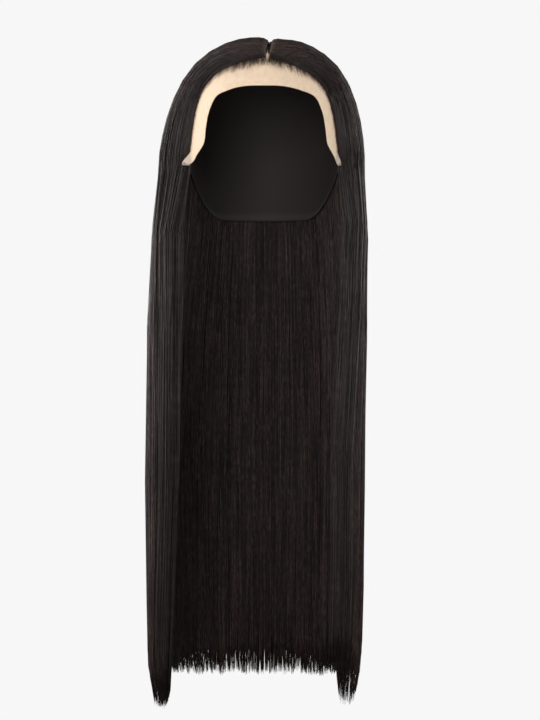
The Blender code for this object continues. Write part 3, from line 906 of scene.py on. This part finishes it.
def hairline_strands(side, random):
    """Lays strands that grow out of the lace at the hairline, rise over the hair and join its fall."""
    count = HAIRLINE_STRANDS
    step = np.linspace(0.0, 1.0, HAIRLINE_STEPS)[None, :]
    way = HAIRLINE_END * (np.arange(count) + random.random(count)) / count
    line, _, out = hairline_frame(side, way)
    ahead = (random.random(count) ** 1.6 - 1.15) * hairline_band(way)
    root = on_cap(line + out * ahead[:, None], ROOT_OFFSET)
    deep = SWEEP_COMB[0] + SWEEP_COMB[1] * random.random(count) ** 1.6
    deep = deep * (SWEEP_LEAST + (1.0 - SWEEP_LEAST) * smooth(*SWEEP_LESS, way))
    fall = SWEEP_TRAVEL[0] + SWEEP_TRAVEL[1] * random.random(count)
    comb = 1.0 - 0.004 - deep[:, None] * (1.0 - (1.0 - step) ** SWEEP_POWER)
    travel = way[:, None] + 0.01 + fall[:, None] * step ** SWEEP_POWER
    outer = hair_depths(side, comb, travel, lock_groove(comb))[1]
    depth = outer * (1.0 - SWEEP_SINK * step ** 3) + SWEEP_ARCH * np.sin(math.pi * step)
    swept = hair_points(side, comb, travel, depth)
    centres = root[:, None] + (swept - root[:, None]) * smooth(*SWEEP_RISE, step)[..., None]
    thickness = HAIRLINE_RADIUS[0] + HAIRLINE_RADIUS[1] * random.random(count)
    radii = thickness[:, None] * np.interp(step, (0.0, 0.2, 0.8, 1.0), (0.55, 1.0, 1.0, 0.3))
    mesh = tube_mesh("hairline_strands_" + side, centres, radii, random.random(count) * 6.0)
    across = random.random((count, 1)) * ACROSS_LENGTH
    along = HAIRLINE_LENGTH * step
    # Stores the painted shade at the temples with the strands' other numbers
    mark_strands(mesh, radii.shape, across=across, along=along, shade=painted_front_shade(1.0, travel),
                 pale=pale_root_and_painted_light(along))
    return mesh


def baby_hairs(side, random):
    """Lays short fine hairs from the hairline out over the lace."""
    count = BABY_HAIRS
    step = np.linspace(0.0, 1.0, BABY_STEPS)[None, :]
    way = 0.01 + 0.97 * random.random(count) ** 1.1
    line, along, out = hairline_frame(side, way)
    share = BABY_LENGTH_SHARE[0] + BABY_LENGTH_SHARE[1] * random.random(count)
    length = BABY_LENGTH_AT(way) * share / DOME_LENGTH
    lean = (random.random(count) - 0.45) * BABY_LEAN
    curl = (random.random(count) - 0.35) * BABY_CURL
    behind = random.random(count) * hairline_band(way)
    reach = step * length[:, None] - behind[:, None]
    aside = lean[:, None] * reach + curl[:, None] * step ** 2 * length[:, None]
    places = line[:, None] + out[:, None] * reach[..., None] + along[:, None] * aside[..., None]
    lift = 0.0004 + 0.0022 * (1.0 - step) ** 2 + 0.0010 * random.random(count)[:, None] * step
    centres = on_cap(places, LACE_THICKNESS + lift)
    thickness = BABY_RADIUS[0] + BABY_RADIUS[1] * random.random(count)
    radii = thickness[:, None] * np.interp(step, (0.0, 0.4, 1.0), (1.2, 1.0, 0.3))
    mesh = tube_mesh("baby_hairs_" + side, centres, radii, random.random(count) * 6.0)
    mark_strands(mesh, radii.shape, along=step)
    return mesh


def seam(column):
    """Gives map points of the seam between lace and net, at columns from -1 to 1."""
    return np.stack([column, SEAM_BACK - SEAM_BOW * column * column], axis=-1)


def tab_bend(places):
    """Gives how far map points of the lace share in the flare of the ear tabs."""
    azimuth = np.abs(np.arctan2(places[:, 0], places[:, 1]))
    bend = smooth(*TAB_HEIGHTS, on_cap(places, 0.0)[:, 2])
    return bend * smooth(*TAB_FRONT, azimuth) * smooth(*TAB_BACK, azimuth)


def lace_front():
    """Models the lace panel, from its pinked free edge to the seam under the hair."""
    edge_azimuth, edge_height = curve_through(LACE_EDGE, 1), curve_through(LACE_EDGE, 2)

    def map_places(across, down):
        column = across * 2.0 - 1.0
        size, sign = np.abs(column), np.where(column < 0.0, -1.0, 1.0)
        turn = LACE_TURN * smooth(*LACE_TURN_FROM, size) * smooth(*LACE_TURN_TO, size) * (sign > 0.0)
        azimuth = (np.radians(edge_azimuth(size)) - turn) * sign
        edge = on_map(azimuth, share_at_height(edge_height(size)))
        back = seam(column) + np.array([0.0, SEAM_OVERLAP])
        return edge + (back - edge) * (down ** LACE_ROW_POWER)[:, None]

    def place(face, across, down):
        places = map_places(across, down)
        flare = np.where(across < 0.5, TAB_FLARE[-1], TAB_FLARE[1]) * tab_bend(places)
        return on_cap(places, flare + CAP_CLEARANCE + (0.0 if face else LACE_THICKNESS))

    def marks(across, down):
        places = map_places(across, down)
        parted = smooth(*PART_KNOTS, np.abs(places[:, 0] - PART_OFFSET) * DOME_LENGTH)
        parted = np.where(places[:, 1] < PART_BACK, parted, 1.0)
        knots = PART_KNOTS_SHARE + (1.0 - PART_KNOTS_SHARE) * parted
        return {
            "across": places[:, 0] * DOME_LENGTH,
            "along": places[:, 1] * DOME_LENGTH,
            "hair": smooth(*KNOTS_REACH, hairline_distance(places)) * knots,
            "tab": smooth(0.0, 0.4, tab_bend(places)),
        }

    mesh = two_faced_mesh("lace_panel", *LACE_GRID, place, marks)
    piece = add_piece("lace_panel", mesh, lace_finish())
    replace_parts(piece, "lace_front")


def hairline_distance(places):
    """Gives how far map points lie behind the hairline, over the length of the baby hairs there."""
    distance = np.full(len(places), 1.0)
    inside = np.zeros(len(places), dtype=bool)
    way = np.linspace(0.0, 1.0, 80)
    for side, sign in SIDES.items():
        line = comb_lines(side, np.ones(len(way)), way)
        own = np.where(places[:, 0] * sign > PART_OFFSET * sign)[0]
        gaps = np.linalg.norm(places[own][:, None] - line[None], axis=2)
        distance[own] = gaps.min(axis=1) * DOME_LENGTH / BABY_LENGTH_AT(way[gaps.argmin(axis=1)])
        nearest = np.interp(places[own, 0] * sign, line[:, 0] * sign, line[:, 1])
        inside[own] = places[own, 1] > nearest
    return np.where(inside, distance, -distance)


def cap_net():
    """Models the net that holds the back of the head, down to its folded hem."""
    def place(face, across, down):
        column = NET_SIDE * (across * 2.0 - 1.0)
        azimuth = EAR_AZIMUTH * column
        rise = smooth(NAPE_CORNER, EAR_AZIMUTH, np.abs(azimuth))
        rim = on_map(azimuth, NAPE_SHARE + (EAR_SHARE - NAPE_SHARE) * rise)
        start = seam(column)
        over_lace = NET_OVER_LACE * (1.0 - smooth(0.0, NET_LIES_DOWN, down))
        hem = (HEM_THICKNESS - NET_THICKNESS) * smooth(*HEM_FROM, down)
        return on_cap(start + (rim - start) * down[:, None], over_lace + (-hem if face else NET_THICKNESS))

    def marks(across, down):
        return {
            "across": (across * 2.0 - 1.0) * EAR_AZIMUTH * HEAD_HALF_DEPTH,
            "along": down * DOME_LENGTH,
            "hem": smooth(*HEM_FROM, down),
        }

    mesh = two_faced_mesh("cap_net_shell", *NET_GRID, place, marks)
    piece = add_piece("cap_net_shell", mesh, net_finish())
    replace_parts(piece, "cap_net")


def hair():
    """Models all the hair: the bodies, their strands, and the short hairs at the hairline."""
    hair_material = hair_finish("soft_black_hair", HAIR_TONE_AND_HIGHLIGHT_COLOURS, roughness=0.76, specular=0.36)
    # The bodies' material is a darker copy of the hair's: painted shade of the hair under the strands
    painted_shade_body_material = hair_finish("hair_underlayer_painted_shade", UNDERLAYER_PAINTED_SHADE_COLOURS, roughness=0.95, specular=0.2)
    baby_material = baby_hair_finish()
    random = np.random.default_rng(HAIR_SEED)
    for side in SIDES:
        for part, start, end in SECTIONS:
            node = "hair_%s_%s" % (side, part)
            body = hair_body(side, node + "_body", start, end)
            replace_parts(add_piece(node + "_body", body, painted_shade_body_material), node)
            strands = hair_strands(side, node + "_strands", start, end, random)
            add_piece(node + "_strands", strands, hair_material)
        add_piece("hairline_strands_" + side, hairline_strands(side, random), hair_material)
        add_piece("baby_hairs_" + side, baby_hairs(side, random), baby_material)


def camera():
    """Sets the camera level, in front, at the photograph's distance and height."""
    lens = bpy.data.cameras.new("camera")
    lens.lens = CAMERA_LENS
    item = bpy.data.objects.new("camera", lens)
    item.location = CAMERA_PLACE
    item.rotation_euler = (math.pi / 2.0, 0.0, 0.0)
    bpy.context.scene.collection.objects.link(item)
    bpy.context.scene.camera = item


def softbox(name, place, target, size, power):
    """Hangs a square softbox that faces a point."""
    lamp = bpy.data.lights.new(name, "AREA")
    lamp.shape = "SQUARE"
    lamp.size = size
    lamp.energy = power
    item = bpy.data.objects.new(name, lamp)
    item.location = place
    direction = np.array(target) - np.array(place)
    flat = math.hypot(direction[0], direction[1])
    item.rotation_euler = (math.atan2(flat, -direction[2]), 0.0,
                           math.atan2(direction[1], direction[0]) - math.pi / 2.0)
    bpy.context.scene.collection.objects.link(item)


def glowing(name):
    """Makes a plain surface that glows white with the backdrop's light."""
    finish = Finish(name, Roughness=1.0)
    finish.shader.inputs["Base Color"].default_value = (0.0, 0.0, 0.0, 1.0)
    finish.shader.inputs["Emission Color"].default_value = (1.0, 1.0, 1.0, 1.0)
    finish.shader.inputs["Emission Strength"].default_value = BACKDROP_LIGHT
    finish.shader.inputs["Specular IOR Level"].default_value = 0.0
    return finish.material


def studio():
    """Makes the pale backdrop, the floor and the soft studio light."""
    scene = bpy.context.scene
    scene.view_settings.view_transform = "Standard"
    world = bpy.data.worlds.new("room_light")
    world.use_nodes = True
    room = world.node_tree.nodes["Background"]
    room.inputs["Color"].default_value = (1.0, 1.0, 1.0, 1.0)
    room.inputs["Strength"].default_value = ROOM_LIGHT
    scene.world = world

    bpy.ops.mesh.primitive_uv_sphere_add(segments=48, ring_count=24, radius=BACKDROP_RADIUS)
    backdrop = bpy.context.object
    backdrop.name = "backdrop"
    bpy.ops.mesh.primitive_circle_add(vertices=96, radius=FLOOR_RADIUS, fill_type="NGON",
                                      location=(0.0, 0.0, FLOOR_HEIGHT))
    floor = bpy.context.object
    floor.name = "floor"
    for surface in (backdrop, floor):
        surface.data.materials.append(glowing(surface.name))
        surface.visible_diffuse = False
        surface.visible_glossy = False
        surface.visible_transmission = False
        surface.visible_shadow = False

    for name, place, size, power in SOFTBOXES:
        softbox(name, place, LIGHTS_AIM, size, power)


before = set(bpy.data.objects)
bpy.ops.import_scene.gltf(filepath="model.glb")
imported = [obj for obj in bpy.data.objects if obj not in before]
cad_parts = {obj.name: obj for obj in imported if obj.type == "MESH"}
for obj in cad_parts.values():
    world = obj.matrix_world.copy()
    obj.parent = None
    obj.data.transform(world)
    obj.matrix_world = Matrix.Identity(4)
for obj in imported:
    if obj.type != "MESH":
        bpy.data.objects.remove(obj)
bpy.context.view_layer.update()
camera()
studio()
lace_front()
cap_net()
hair()
